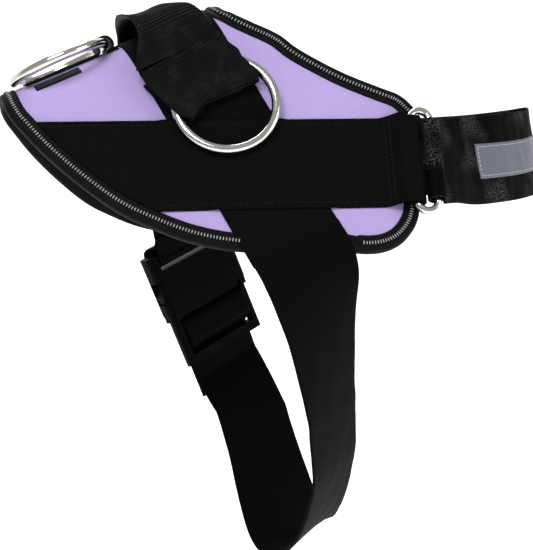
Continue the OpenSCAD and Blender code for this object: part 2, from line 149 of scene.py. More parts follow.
def smooth_closed(p, n):
    for _ in range(n):
        p = (np.roll(p, 1, 0) + 2 * p + np.roll(p, -1, 0)) / 4
    return p


def inward(edge):
    """Directions square to the saddle's edge, towards its middle."""
    t = unit(np.roll(edge, -1, 0) - np.roll(edge, 1, 0))
    w = smooth_closed(np.stack([-t[:, 1], t[:, 0]], -1), 4)
    if np.mean(np.sum((edge.mean(0) - edge) * w, 1)) < 0:
        w = -w
    return unit(w)


LOOP = smooth_closed(full_loop(), 6)
INWARD = inward(LOOP)
LOOP_LEN = np.r_[0, np.cumsum(np.linalg.norm(np.diff(LOOP, axis=0), axis=1))]


def edges_at(s, d):
    """Tail and front ends of the saddle at distance s down, inset by d."""
    q = LOOP + INWARD * d
    right = q[q[:, 1] >= -0.5]
    low = np.argmax(right[:, 1])
    tail, front = right[:low + 1], right[low:]
    if tail[0, 1] > tail[-1, 1]:
        tail = tail[::-1]
    front = front[np.argsort(front[:, 1])]
    tail = tail[np.argsort(tail[:, 1])]
    a = np.abs(s)
    xa, xb = np.interp(a, tail[:, 1], tail[:, 0]), np.interp(a, front[:, 1], front[:, 0])
    return np.minimum(xa, xb), np.maximum(xa, xb), right[low, 1]


# ---------------------------------------------------------------- meshes
def mesh(name, pts, faces, uv=None, smooth=True):
    """Object from points in millimetres, faces, and one (u, v) in millimetres per point."""
    m = bpy.data.meshes.new(name)
    m.from_pydata((np.asarray(pts) * 0.001).tolist(), [], [list(map(int, f)) for f in faces])
    m.polygons.foreach_set("use_smooth", [smooth] * len(m.polygons))
    if uv is not None:
        layer = m.uv_layers.new(name="UVMap")
        idx = np.zeros(len(m.loops), int)
        m.loops.foreach_get("vertex_index", idx)
        layer.data.foreach_set("uv", np.asarray(uv, np.float32)[idx].ravel())
    m.update()
    o = bpy.data.objects.new(name, m)
    bpy.context.scene.collection.objects.link(o)
    return o


def grid_faces(r, c, wrap=False, base=0, wrap_rows=False):
    cc = c if wrap else c - 1
    rr = r if wrap_rows else r - 1
    i, j = np.meshgrid(np.arange(rr), np.arange(cc), indexing="ij")
    i, j = i.ravel(), j.ravel()
    i2, j2 = (i + 1) % r, (j + 1) % c
    return (np.stack([i * c + j, i * c + j2, i2 * c + j2, i2 * c + j], -1) + base).tolist()


def sheet_mesh(name, P, UV):
    r, c = P.shape[:2]
    return mesh(name, P.reshape(-1, 3), grid_faces(r, c), UV.reshape(-1, 2))


def tube_mesh(name, P, UV, closed=False):
    """Rows of closed cross-sections, capped at both ends unless closed."""
    r, c = P.shape[:2]
    f = grid_faces(r, c, True, 0, closed)
    if not closed:
        f.append(list(range(c))[::-1])
        f.append([(r - 1) * c + j for j in range(c)])
    return mesh(name, P.reshape(-1, 3), f, UV.reshape(-1, 2))


def strap_section(w, t, n=24):
    """Closed outline of flat webbing: a across, h above the middle, 1 on the upper face."""
    edge = min(t * 0.5, 0.8)
    a = np.linspace(-w / 2 + edge, w / 2 - edge, n)
    arc = np.linspace(90, -90, 5)[1:-1]
    up = [(x, t / 2, 1) for x in a]
    right = [(w / 2 - edge + edge * math.cos(math.radians(k)), t / 2 * math.sin(math.radians(k)), 0.5)
             for k in arc]
    low = [(x, -t / 2, 0) for x in a[::-1]]
    left = [(-w / 2 + edge - edge * math.cos(math.radians(k)), t / 2 * math.sin(math.radians(k)), 0.5)
            for k in arc[::-1]]
    return np.array(up + right + low + left)


def strap(name, place, length, w, t, step=1.0, n=24, height=None):
    """Webbing strap: place(l, a, h) gives points, w a number or function of l,
    height(l, a, face) extra height of a point, where face is 1 above and 0 below."""
    ls = np.linspace(0, length, int(length / step) + 1)
    wide = w if callable(w) else (lambda l: w)
    rows, uvs = [], []
    for l in ls:
        wl = wide(l)
        sec = strap_section(wl, t, n)
        a, h = sec[:, 0], sec[:, 1].copy()
        if height is not None:
            h = h + height(l, a, sec[:, 2])
        rows.append(place(np.full(len(a), l), a, h))
        uvs.append(np.stack([np.full(len(a), l), a + (sec[:, 2] < 0.5) * 60], -1))
    return tube_mesh(name, np.array(rows), np.array(uvs))


def path_frame(p, wv, sheared=False):
    """Distances, middle points, width directions and normals along a path."""
    p, wv = np.asarray(p, float), np.asarray(wv, float)
    d = np.r_[0, np.cumsum(np.linalg.norm(np.diff(p, axis=0), axis=1))]
    t = unit(np.gradient(p, d, axis=0))
    w = unit(wv - t * np.sum(wv * t, 1)[:, None])
    n = np.cross(w, t)
    return d, p, unit(wv) if sheared else w, n


def path_place(p, wv, sheared=False):
    d, p, w, n = path_frame(p, wv, sheared)

    def place(l, a, h):
        q = np.stack([np.interp(l, d, p[:, k]) for k in range(3)], -1)
        u = unit(np.stack([np.interp(l, d, w[:, k]) for k in range(3)], -1))
        m = unit(np.stack([np.interp(l, d, n[:, k]) for k in range(3)], -1))
        return q + u * np.asarray(a)[..., None] + m * np.asarray(h)[..., None]

    return place, d[-1]


def noise(x, y, seed, size):
    """Soft random waves over two numbers, about -1 to 1."""
    r = np.random.default_rng(seed)
    v = 0
    for _ in range(6):
        ang, ph, f = r.uniform(0, math.tau), r.uniform(0, math.tau), r.uniform(0.6, 1.7) / size
        v = v + np.sin((x * math.cos(ang) + y * math.sin(ang)) * f * math.tau + ph)
    return v / 3.2


def threads(name, pts, dirs, nors, length=2.2, r=0.28):
    """Row of stitches: short rounded threads lying on a surface."""
    k, m = 6, 5
    ang = np.arange(k) / k * math.tau
    prof = [(-0.5, 0.25), (-0.36, 0.8), (0, 1.0), (0.36, 0.8), (0.5, 0.25)]
    P, F = [], []
    for i, (c, d, n) in enumerate(zip(pts, unit(dirs), unit(nors))):
        b = np.cross(n, d)
        for f, s in prof:
            sag = -abs(f) * r * 1.3
            P.append(c + d * f * length + n * sag
                     + (np.cos(ang)[:, None] * b + np.sin(ang)[:, None] * n) * r * s)
        F += grid_faces(m, k, True, i * k * m)
        F += [[i * k * m + j for j in range(k)][::-1], [i * k * m + k * (m - 1) + j for j in range(k)]]
    return mesh(name, np.vstack(P), F, np.zeros((len(P) * k, 2)))


# ---------------------------------------------------------------- materials
def principled(name, color, rough=0.6, metal=0.0, spec=0.5, sheen=0.0, coat=0.0):
    m = bpy.data.materials.new(name)
    m.use_nodes = True
    b = m.node_tree.nodes["Principled BSDF"]
    b.inputs["Base Color"].default_value = (*color, 1)
    b.inputs["Roughness"].default_value = rough
    b.inputs["Metallic"].default_value = metal
    b.inputs["Specular IOR Level"].default_value = spec
    b.inputs["Sheen Weight"].default_value = sheen
    b.inputs["Sheen Roughness"].default_value = 0.45
    b.inputs["Coat Weight"].default_value = coat
    b.inputs["Coat Roughness"].default_value = 0.25
    return m, m.node_tree, b


def wave(tree, coord, period, angle=0.0, distort=0.0):
    """Wave of a period in millimetres across the UV map, turned by angle."""
    mp = tree.nodes.new("ShaderNodeMapping")
    mp.inputs["Rotation"].default_value = (0, 0, math.radians(angle))
    w = tree.nodes.new("ShaderNodeTexWave")
    w.wave_type = "BANDS"
    w.bands_direction = "X"
    w.inputs["Scale"].default_value = 0.3142 / period
    w.inputs["Distortion"].default_value = distort
    w.inputs["Detail"].default_value = 1
    w.inputs["Detail Scale"].default_value = 1.5
    tree.links.new(coord, mp.inputs["Vector"])
    tree.links.new(mp.outputs["Vector"], w.inputs["Vector"])
    return w.outputs["Fac"]


def mix(tree, op, a, b):
    n = tree.nodes.new("ShaderNodeMath")
    n.operation = op
    for k, v in enumerate((a, b)):
        if isinstance(v, (int, float)):
            n.inputs[k].default_value = v
        else:
            tree.links.new(v, n.inputs[k])
    return n.outputs[0]


def cloth(name, color, dark, waves, depth=0.12, rough=0.7, sheen=0.35, spec=0.35, wear=0.12):
    """Woven cloth: waves is a list of (period mm, angle, share), joined into one height."""
    m, tree, b = principled(name, color, rough, 0, spec, sheen)
    uv = tree.nodes.new("ShaderNodeUVMap").outputs["UV"]
    height = None
    for period, angle, share in waves:
        h = mix(tree, "MULTIPLY", wave(tree, uv, period, angle), share)
        height = h if height is None else mix(tree, "ADD", height, h)
    n = tree.nodes.new("ShaderNodeTexNoise")
    n.inputs["Scale"].default_value = 0.09
    n.inputs["Detail"].default_value = 5
    tree.links.new(uv, n.inputs["Vector"])
    shade = mix(tree, "ADD", mix(tree, "MULTIPLY", height, 1 - wear),
                mix(tree, "MULTIPLY", n.outputs["Fac"], wear))
    ramp = tree.nodes.new("ShaderNodeMix")
    ramp.data_type = "RGBA"
    ramp.inputs[6].default_value = (*dark, 1)
    ramp.inputs[7].default_value = (*color, 1)
    tree.links.new(shade, ramp.inputs[0])
    tree.links.new(ramp.outputs[2], b.inputs["Base Color"])
    bump = tree.nodes.new("ShaderNodeBump")
    bump.inputs["Strength"].default_value = 0.6
    bump.inputs["Distance"].default_value = depth * 0.001
    tree.links.new(height, bump.inputs["Height"])
    tree.links.new(bump.outputs["Normal"], b.inputs["Normal"])
    return m


def painted_sheen_patches(m, color, size):
    """Painted sheen on a cloth: lighter patches of base colour, size mm across and broken up by its
    grain, that stand in for glossy highlights.
    """
    tree = m.node_tree
    b = tree.nodes["Principled BSDF"]
    plain = b.inputs["Base Color"].links[0].from_socket
    uv = tree.nodes.new("ShaderNodeUVMap").outputs["UV"]
    share = 1.0
    for scale, detail, low, high in ((1 / size, 1, 0.5, 0.66), (0.9, 3, 0.45, 0.6)):
        n = tree.nodes.new("ShaderNodeTexNoise")
        n.inputs["Scale"].default_value = scale
        n.inputs["Detail"].default_value = detail
        tree.links.new(uv, n.inputs["Vector"])
        r = tree.nodes.new("ShaderNodeMapRange")
        r.inputs["From Min"].default_value = low
        r.inputs["From Max"].default_value = high
        tree.links.new(n.outputs["Fac"], r.inputs["Value"])
        share = mix(tree, "MULTIPLY", r.outputs["Result"], share)
    out = tree.nodes.new("ShaderNodeMix")
    out.data_type = "RGBA"
    out.inputs[7].default_value = (*color, 1)
    tree.links.new(plain, out.inputs[6])
    tree.links.new(share, out.inputs[0])
    tree.links.new(out.outputs[2], b.inputs["Base Color"])


BLACK, DEEP = (0.0042, 0.0042, 0.0046), (0.0012, 0.0012, 0.0014)
M_COVER = cloth("lilac_twill", (0.415, 0.325, 0.610), (0.320, 0.250, 0.505),
                [(1.15, 32, 0.55), (0.62, -58, 0.45)], 0.10, 0.75, 0.06, 0.2)
M_WEB = cloth("band_webbing", BLACK, DEEP, [(1.1, 0, 0.6), (0.75, 62, 0.4)], 0.14, 0.62, 0.0, 0.02)
M_GIRTH = cloth("girth_webbing", (0.0034, 0.0034, 0.0038), DEEP,
                [(1.3, 38, 0.5), (0.9, 90, 0.5)], 0.10, 0.6, 0.0, 0.018)
M_CHEST = cloth("chest_webbing", (0.0028, 0.0028, 0.0031), DEEP,
                [(2.2, 90, 0.55), (0.8, 0, 0.45)], 0.12, 0.5, 0.0, 0.012)
# painted highlight: light patches in the chest webbing's base colour stand in for the glossy sheen of its
# shiny webbing
painted_sheen_patches(M_CHEST, (0.045, 0.045, 0.047), 26)
M_RIB = cloth("ribbed_webbing", (0.0052, 0.0052, 0.0056), (0.0008, 0.0008, 0.0009),
              [(0.9, 90, 0.6), (0.9, 0, 0.4)], 0.14, 0.42, 0.0, 0.045)
# painted highlight: small light specks in the handle webbing's base colour stand in for glints on its
# ribs
painted_sheen_patches(M_RIB, (0.012, 0.012, 0.013), 9)
M_BIND = cloth("binding_tape", (0.005, 0.005, 0.0055), (0.0015, 0.0015, 0.0018),
               [(0.9, 45, 0.5), (0.9, -45, 0.5)], 0.10, 0.6, 0.0, 0.06)
M_MESH = cloth("mesh_lining", (0.022, 0.022, 0.024), (0.004, 0.004, 0.004),
               [(2.6, 30, 0.5), (2.6, -30, 0.5)], 0.5, 0.8, 0.0, 0.05)
M_LABEL = cloth("label_cloth", (0.005, 0.005, 0.006), (0.002, 0.002, 0.0025),
                [(0.6, 0, 0.5), (0.6, 90, 0.5)], 0.05, 0.6, 0.0, 0.06)
M_THREAD = principled("thread", (0.006, 0.006, 0.007), 0.6, 0, 0.08)[0]
M_GREY_THREAD = principled("grey_thread", (0.42, 0.42, 0.43), 0.5, 0, 0.5, 0.2)[0]
M_TICK = principled("reflective_thread", (0.33, 0.34, 0.35), 0.4, 0.1, 0.4)[0]


def metal():
    m, tree, b = principled("nickel", (0.64, 0.61, 0.565), 0.14, 1.0)
    n = tree.nodes.new("ShaderNodeTexNoise")
    n.inputs["Scale"].default_value = 260
    tree.links.new(tree.nodes.new("ShaderNodeNewGeometry").outputs["Position"], n.inputs["Vector"])
    r = tree.nodes.new("ShaderNodeMapRange")
    r.inputs["To Min"].default_value = 0.08
    r.inputs["To Max"].default_value = 0.20
    tree.links.new(n.outputs["Fac"], r.inputs["Value"])
    tree.links.new(r.outputs["Result"], b.inputs["Roughness"])
    return m


def acetal():
    m, tree, b = principled("black_acetal", (0.0014, 0.0014, 0.0016), 0.42, 0, 0.025)
    pos = tree.nodes.new("ShaderNodeNewGeometry").outputs["Position"]
    n = tree.nodes.new("ShaderNodeTexNoise")
    n.inputs["Scale"].default_value = 1800
    tree.links.new(pos, n.inputs["Vector"])
    bump = tree.nodes.new("ShaderNodeBump")
    bump.inputs["Strength"].default_value = 0.25
    bump.inputs["Distance"].default_value = 0.0001
    tree.links.new(n.outputs["Fac"], bump.inputs["Height"])
    tree.links.new(bump.outputs["Normal"], b.inputs["Normal"])
    return m


def reflector():
    m, tree, b = principled("reflective_film", (0.115, 0.12, 0.145), 0.4, 0.1, 0.12)
    uv = tree.nodes.new("ShaderNodeUVMap").outputs["UV"]
    v = tree.nodes.new("ShaderNodeTexVoronoi")
    v.inputs["Scale"].default_value = 1.6
    tree.links.new(uv, v.inputs["Vector"])
    bump = tree.nodes.new("ShaderNodeBump")
    bump.inputs["Strength"].default_value = 0.3
    bump.inputs["Distance"].default_value = 0.0001
    tree.links.new(v.outputs["Distance"], bump.inputs["Height"])
    tree.links.new(bump.outputs["Normal"], b.inputs["Normal"])
    return m


M_METAL, M_PLASTIC, M_REFLECT = metal(), acetal(), reflector()


def finish_piece(o, material, body, replaces=()):
    o.data.materials.clear()
    o.data.materials.append(material)
    if body:
        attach(o, body)
    if replaces:
        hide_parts(*replaces)
    return o


# ---------------------------------------------------------------- saddle panel
def panel_sheet(name, d, t0, puff, step, flip=False):
    _, _, low = edges_at(np.array([0.0]), d)
    s = np.linspace(-low + 0.05, low - 0.05, int(2 * low / step))
    xa, xb, _ = edges_at(s, d)
    u = np.linspace(0, 1, 150)
    X = xa[:, None] + (xb - xa)[:, None] * u
    S = np.repeat(s[:, None], len(u), 1)
    edge = np.minimum(np.minimum(X - xa[:, None], xb[:, None] - X), low - np.abs(S))
    lift = puff * (1 - np.exp(-np.maximum(edge, 0) / 5.0))
    T = t0 + lift + 0.18 * noise(X, S, 3, 60) * np.sign(puff) * min(1, abs(puff) * 2)
    P = surface(X, S, T)
    if flip:
        P = P[:, ::-1]
        X = X[:, ::-1]
    return sheet_mesh(name, P, np.stack([X, S], -1))


cover = finish_piece(panel_sheet("saddle_cover", 7.2, COVER - 0.15, 0.5, 1.2), M_COVER, "harness",
                     ["outer_cover", "foam_core"])
lining = finish_piece(panel_sheet("saddle_lining", 7.2, -0.1, -0.25, 1.2, True), M_MESH, "harness",
                      ["mesh_lining"])


def under_strap(p):
    """Where straps pass over the binding: 0 clear, 1 fully under."""
    x, s = p[:, 0], p[:, 1]
    zp = surface(x, s, 0)
    xr, z = zp[:, 0], zp[:, 2]
    slant = np.where(s > 0, math.tan(BACK_SLANT), math.tan(BUCKLE_SLANT))
    near = np.abs(xr + z * slant) - 25.5
    a = np.clip(1 - near / 1.2, 0, 1) * (z < -85)
    off = np.abs(z - band_middle(xr)) * math.cos(BAND_SLOPE) - 22.6
    b = np.clip(1 - off / 1.2, 0, 1) * (xr > 60)
    return np.maximum(a, b)


UNDER = under_strap(LOOP)


def edge_sweep(name, profile, material, replaces=(), wrinkle=0.0):
    prof = np.array(profile, float)
    d, t = prof[:, 0][None, :], prof[:, 1][None, :]
    drop = UNDER[:, None] * np.clip((t - 3) / 3, 0, 1) * np.maximum(t - 5.1, 0)
    n = wrinkle * noise(LOOP_LEN[:, None], d * 3, 11, 9) * np.ones_like(t)
    T = t - drop + n
    X = LOOP[:, 0:1] + INWARD[:, 0:1] * d
    S = LOOP[:, 1:2] + INWARD[:, 1:2] * d
    P = surface(X, S, T)
    v = np.r_[0, np.cumsum(np.hypot(*np.diff(prof, axis=0).T))]
    UV = np.stack([np.repeat(LOOP_LEN[:, None], len(prof), 1), np.repeat(v[None], len(LOOP), 0)], -1)
    o = tube_mesh(name, P, UV, True)
    return finish_piece(o, material, "harness", replaces)


BIND = [(8.5, 5.25), (8.45, 5.75), (7.9, 6.0), (6.6, 6.02), (5.0, 6.0), (3.2, 6.0), (1.6, 5.9),
        (0.6, 5.3), (0.1, 4.0), (0.0, 2.6), (0.1, 1.2), (0.6, -0.1), (1.6, -0.7), (3.2, -0.8),
        (5.0, -0.8), (7.0, -0.8), (8.2, -0.7), (8.5, -0.3), (8.5, 0.1), (6.0, 0.2), (6.0, 5.1)]
edge_sweep("edge_binding_tape", BIND, M_BIND, ["edge_binding"], 0.06)
CORD = [(4.4 + 1.15 * math.cos(k / 12 * math.tau), 6.15 + 0.62 * math.sin(k / 12 * math.tau))
        for k in range(12)]
edge_sweep("reflective_piping", CORD[::-1], M_BIND, ["reflective_cord"])


def along_edge(name, step, d, t, length, r, square):
    """Threads all round the saddle's edge, d in from it, square to it or along it."""
    at = np.arange(0, LOOP_LEN[-1], step)
    q = np.stack([np.interp(at, LOOP_LEN, LOOP[:, k]) for k in (0, 1)], -1)
    w = unit(np.stack([np.interp(at, LOOP_LEN, INWARD[:, k]) for k in (0, 1)], -1))
    free = np.interp(at, LOOP_LEN, UNDER) < 0.05
    q, w = q[free], w[free]
    c = q + w * d
    lie = w if square else np.stack([w[:, 1], -w[:, 0]], -1)
    h = np.full(len(c), t)
    P = surface(c[:, 0], c[:, 1], h)
    A = surface(c[:, 0] + lie[:, 0] * 0.1, c[:, 1] + lie[:, 1] * 0.1, h)
    N = surface(c[:, 0], c[:, 1], np.full(len(c), 7.0)) - P
    return threads(name, P, A - P, N, length, r)


def edge_marks():
    """Reflective threads across the piping, and the binding's row of stitches."""
    o = along_edge("reflective_ticks", 1.62, 4.4, 6.62, 2.0, 0.36, True)
    finish_piece(o, M_TICK, "harness")
    o = along_edge("binding_stitches", 3.1, 7.4, 6.0, 2.1, 0.22, False)
    finish_piece(o, M_THREAD, "harness")


edge_marks()

# ---------------------------------------------------------------- straps on the saddle
def back_centre(s):
    """Middle of the back strap, x in the leaning frame."""
    zp = surface(0, s, STRAP_HI)
    zl = -zp[..., 0] * math.sin(LEAN) + zp[..., 2] * math.cos(LEAN)
    return zl * np.where(s > 0, math.tan(LEAN - BACK_SLANT), math.tan(LEAN - BUCKLE_SLANT))


def back_strap():
    lo, hi = -s_of(-118.5), s_of(-116.3)

    def place(l, a, h):
        s = lo + l
        return surface(back_centre(s) + a, s, (STRAP_LO + STRAP_HI) / 2 + h)

    o = strap("back_strap_web", place, hi - lo, 49.6, 1.3, 1.0, 30,
              lambda l, a, f: 0.06 * noise(l, a, 5, 30))
    return finish_piece(o, M_WEB, "harness", ["back_strap"])


back_strap()
# the band's direction on the opened-out cloth
BAND_TURN = math.atan(math.tan(LEAN + BAND_SLOPE) / math.sin(SLOPE))
BAND_DIR = np.array([math.cos(BAND_TURN), math.sin(BAND_TURN)])


def band_start():
    """A point of the side band's middle in (x, s), at the girth strap."""
    return np.array([BAND_Z * math.sin(LEAN), float(s_of(BAND_Z * math.cos(LEAN), BAND_HI))])


BAND_MID = band_start()
# the band's front end, and the oval ring's rear bar: its x and its height above the inside
BAND_FRONT = 94.6
OVAL_X, OVAL_T = 91.0, 11.4


def band_top(l, a):
    """Height of the band's upper face: it rises where it crosses the back strap."""
    q = BAND_MID + np.multiply.outer(np.asarray(l, float), BAND_DIR) \
        + np.multiply.outer(np.asarray(a, float), [-BAND_DIR[1], BAND_DIR[0]])
    x, s = q[..., 0], q[..., 1]
    off = np.abs(x - back_centre(s)) - 25.5
    over = np.clip(1 - off / 5, 0, 1)
    up = np.clip((np.asarray(l, float) - 80) / 14, 0, 1)
    return 6.75 + 1.3 * over * over * (3 - 2 * over) + 8.3 * up * up * (3 - 2 * up)


def band_place(sign):
    """Places l along, a across and h up on the side band of one side."""
    def place(l, a, h):
        q = BAND_MID + np.multiply.outer(np.asarray(l, float), BAND_DIR) \
            + np.multiply.outer(np.asarray(a, float), [-BAND_DIR[1], BAND_DIR[0]])
        return surface(q[..., 0], sign * q[..., 1], h)
    return place


def side_band(side, sign):
    """Side band from the tail binding to the oval ring, with its rows of stitches."""
    lay = band_place(sign)
    n = 30
    across = strap_section(49.4, 1.4, n)
    a_all = across[:, 0]
    start = []
    for a in a_all:
        ls = np.linspace(-110, 0, 400)
        q = BAND_MID + np.outer(ls, BAND_DIR) + a * np.array([-BAND_DIR[1], BAND_DIR[0]])
        xa, _, _ = edges_at(q[:, 1], 8.0)
        start.append(ls[np.argmax(q[:, 0] > xa)])
    start = np.array(start)
    rows, uvs = [], []
    steps = 190
    for i in range(steps + 1):
        l = start + (BAND_FRONT - start) * (i / steps)
        top = band_top(l, a_all) - 0.7 + 0.08 * noise(l, a_all, 21, 26)
        rows.append(lay(l, a_all, top + across[:, 1]))
        uvs.append(np.stack([l, a_all + (across[:, 2] < 0.5) * 60], -1))
    o = tube_mesh("side_band_web_" + side, np.array(rows), np.array(uvs))
    finish_piece(o, M_WEB, "harness", ["side_band_" + side])
    rows_of = []
    for a in (-21.8, 21.8):
        l0 = start[np.argmin(np.abs(a_all - a))] + 5
        line = np.stack([np.linspace(l0, 80, 60), np.full(60, a)], -1)
        r = stitch_points(lay, line, lambda q: band_top(q[:, 0], q[:, 1]) + 0.02, 3.2)
        rows_of.append(r)
    for l in (83.6, 85.8):
        zig = np.array([[l + (0.9 if i % 2 else -0.9), -22 + i * 1.1] for i in range(41)])
        r = stitch_points(lay, zig, lambda q: band_top(q[:, 0], q[:, 1]) + 0.05, None)
        rows_of.append(r)
    o = threads("band_stitches_" + side, *(np.vstack(v) for v in zip(*rows_of)), 2.1, 0.26)
    finish_piece(o, M_THREAD, "harness", ["band_stitch_" + side])


def stitch_points(lay, line, top, pitch):
    """Middle points, directions and normals of stitches along a line on a laid strap."""
    pts = resample(line, pitch) if pitch else np.asarray(line, float)
    mid, step = (pts[1:] + pts[:-1]) / 2, unit(pts[1:] - pts[:-1])
    t = top(mid)
    p = lay(mid[:, 0], mid[:, 1], t)
    q = mid + step * 0.1
    d = lay(q[:, 0], q[:, 1], t) - p
    n = lay(mid[:, 0], mid[:, 1], t + 0.5) - p
    return p, d, n


side_band("right", 1)
side_band("left", -1)

# ---------------------------------------------------------------- oval rings and band eyes
def side_pt(x, z, t):
    """Point of the right side at the row's x and z, t above the inside face."""
    zp = z * math.cos(LEAN) - x * math.sin(LEAN)
    r = RIDGE + t
    w = (r * math.cos(SLOPE) - RIDGE - zp) / math.sin(SLOPE)
    return np.array([x, -(r * math.sin(SLOPE) + w * math.cos(SLOPE)), z])


OVAL = side_pt(OVAL_X, band_middle(OVAL_X), OVAL_T)
OVAL_DIR = unit(OVAL - side_pt(OVAL_X - 20, band_middle(OVAL_X - 20), OVAL_T))
PANEL_N = unit(np.cross(side_pt(70, -90, 5) - side_pt(50, -90, 5),
                        side_pt(50, -90, 5) - side_pt(50, -110, 5)))
OVAL_UP = unit(np.cross(PANEL_N, OVAL_DIR))
OVAL_WIRE, OVAL_GAP, OVAL_LEN = 4.0, 6.0, 51.0
BAR2 = OVAL + OVAL_DIR * (OVAL_GAP + OVAL_WIRE)
FLIP = np.array([1.0, -1.0, 1.0])


def local(origin, x, z, pts):
    """Points given along x, y and z of a turned frame."""
    y = np.cross(z, x)
    pts = np.asarray(pts, float)
    return origin + pts[..., 0:1] * x + pts[..., 1:2] * y + pts[..., 2:3] * z


def ring_tube(name, path, r, closed=True, seg=20):
    """Round wire along a closed path."""
    p = np.asarray(path, float)
    t = unit(np.roll(p, -1, 0) - np.roll(p, 1, 0))
    ref = unit(np.cross(p[0] - p.mean(0), p[len(p) // 4] - p.mean(0)))
    b = np.repeat(ref[None], len(p), 0)
    n = unit(np.cross(t, b))
    ang = np.arange(seg) / seg * math.tau
    c, s = np.cos(ang)[None, :, None], np.sin(ang)[None, :, None]
    P = p[:, None] + (c * n[:, None] + s * b[:, None]) * r
    UV = np.zeros((*P.shape[:2], 2))
    return tube_mesh(name, P, UV, closed)


def oval_path():
    """Middle line of an oval ring: two bars joined by half circles."""
    r, h = (OVAL_GAP + OVAL_WIRE) / 2, (OVAL_LEN - OVAL_GAP) / 2
    out = []
    for k in np.linspace(0, 180, 17):
        out.append([r + r * math.cos(math.radians(k)), 0, h + r * math.sin(math.radians(k))])
    for z in np.linspace(h, -h, 14)[1:-1]:
        out.append([0, 0, z])
    for k in np.linspace(180, 360, 17):
        out.append([r + r * math.cos(math.radians(k)), 0, -h + r * math.sin(math.radians(k))])
    for z in np.linspace(-h, h, 14)[1:-1]:
        out.append([2 * r, 0, z])
    return local(OVAL, OVAL_DIR, OVAL_UP, out)


def eye_mesh(name, origin, x, z, r_out, r_in, width):
    """Webbing turned round a bar: a flat strap rolled in a circle."""
    r = (r_out + r_in) / 2
    turn = [[r * math.cos(k), r * math.sin(k), 0] for k in np.linspace(0, math.tau, 49)]
    place, length = path_place(local(origin, x, z, turn), np.repeat(z[None], 49, 0))
    return strap(name, place, length, width, r_out - r_in, 0.8, 24)


for side, flip in (("right", np.ones(3)), ("left", FLIP)):
    o = ring_tube("oval_ring_" + side, oval_path() * flip, OVAL_WIRE / 2)
    finish_piece(o, M_METAL, "chest_link_" + side, ["chest_ring_" + side])
    up = OVAL_UP * flip
    d = OVAL_DIR * flip
    o = eye_mesh("band_eye_" + side, OVAL * flip, d, up, 4.25, 2.95, 47.6)
    finish_piece(o, M_WEB, "harness")

# ---------------------------------------------------------------- leash rings and rear ring
RING_WIRE = 5.0
RING_R, RING_X, RING_W = 25.5, 6.0, 42.0
RING_T = BAND_HI + RING_WIRE / 2 + 0.35
REAR_X, REAR_Z = -57.0, 9.2


def panel_pt(x, w, t, sign=1):
    """Point of a flat side, w below the ridge's curve."""
    return surface(x, sign * (ARC + np.asarray(w, float)), t)


k = np.linspace(0, math.tau, 97)[:-1]
for side, sign, body in (("right", 1, "leash_right"), ("left", -1, "leash_left")):
    o = ring_tube("round_ring_" + side,
                  panel_pt(RING_X + RING_R * np.cos(k), RING_W + RING_R * np.sin(k), RING_T, sign),
                  RING_WIRE / 2)
    finish_piece(o, M_METAL, body, ["leash_ring_" + side])
TILT = math.radians(7)
across = RING_R * np.sin(k)
rear = np.stack([REAR_X + RING_R * np.cos(k), across * math.cos(TILT),
                 REAR_Z - across * math.sin(TILT)], -1)
o = ring_tube("round_ring_rear", row(rear), RING_WIRE / 2)
finish_piece(o, M_METAL, "rear_ring", ["back_ring"])


def ring_tab():
    """Tab on the ridge that holds the rear ring, and the blank label beside it."""
    eye_x = REAR_X + RING_R - 0.65
    line = [[-77.5, 0, 5.95]] + [[x, 0, 5.95] for x in np.linspace(-70, eye_x - 8, 6)]
    line += [[eye_x - 4.2, 0, 6.3]]
    line += [[eye_x + 4.25 * math.cos(k), 0, REAR_Z + 4.25 * math.sin(k)]
             for k in np.radians(np.linspace(190, -95, 20))]
    line += [[eye_x + 1.0, 0, 5.95], [eye_x + 6.5, 0, 5.95]]
    p = resample(spline(line, 6), 0.6)
    place, length = path_place(row(p), np.repeat([[0, 1, 0]], len(p), 0))
    o = strap("rear_ring_tab", place, length, 15.6, 1.1, 0.7, 14)
    finish_piece(o, M_RIB, "harness", ["ring_tab"])
    X, S = np.meshgrid(np.linspace(-75, -49.5, 40), np.linspace(8.4, 14.4, 24), indexing="ij")
    edge = np.minimum(np.minimum(X + 75, -49.5 - X), np.minimum(S - 8.4, 14.4 - S))
    T = STRAP_LO + 0.55 * np.clip(edge / 0.5, 0, 1) + 0.1
    o = sheet_mesh("blank_label", surface(X, S, T), np.stack([X, S], -1))
    finish_piece(o, M_LABEL, "harness", ["label_patch"])


ring_tab()

# ---------------------------------------------------------------- grab handle
# middle of the handle's legs, and the faces that its folded ends lie between
LEG_X = -3.7
FRONT_LO = RING_T + RING_WIRE / 2 + 0.3
REAR_LO = STRAP_HI + 0.1


def handle_z(a):
    """Height of the arch at place a across it, from -1 at the tail's edge to 1."""
    return 18 - 4 * a + (1 - a * a) * (4.4 * a - 0.5)


def handle_line(a, t):
    """The handle's arch at place a across its width, t above its underside."""
    k = handle_z(a) / 18.5

    def leg(x, w, tt):
        r = RIDGE + tt
        return [x, -(r * math.sin(SLOPE) + w * math.cos(SLOPE)),
                r * math.cos(SLOPE) - RIDGE - w * math.sin(SLOPE)]
    half = [leg(LEG_X + a * 23.8, 8, FRONT_LO + t), leg(LEG_X + 1.4 + a * 21.3, 1, FRONT_LO + 0.6 + t),
            [LEG_X + 3.1 + a * 17.8, -27 - t, 7 * k],
            [LEG_X + 2.3 + a * 16.4, -20 - 0.7 * t, 12.7 * k + 0.7 * t],
            [LEG_X + 0.2 + a * 15, -9, 15.4 * k + t],
            [LEG_X + 0.1 + a * 14.9, 0, 15.7 * k + t]]
    rest = [[p[0], -p[1], p[2]] for p in half[-2::-1]]
    return spline(half + rest, 12)


# pitch of the handle webbing's ribs
RIB = 2.05


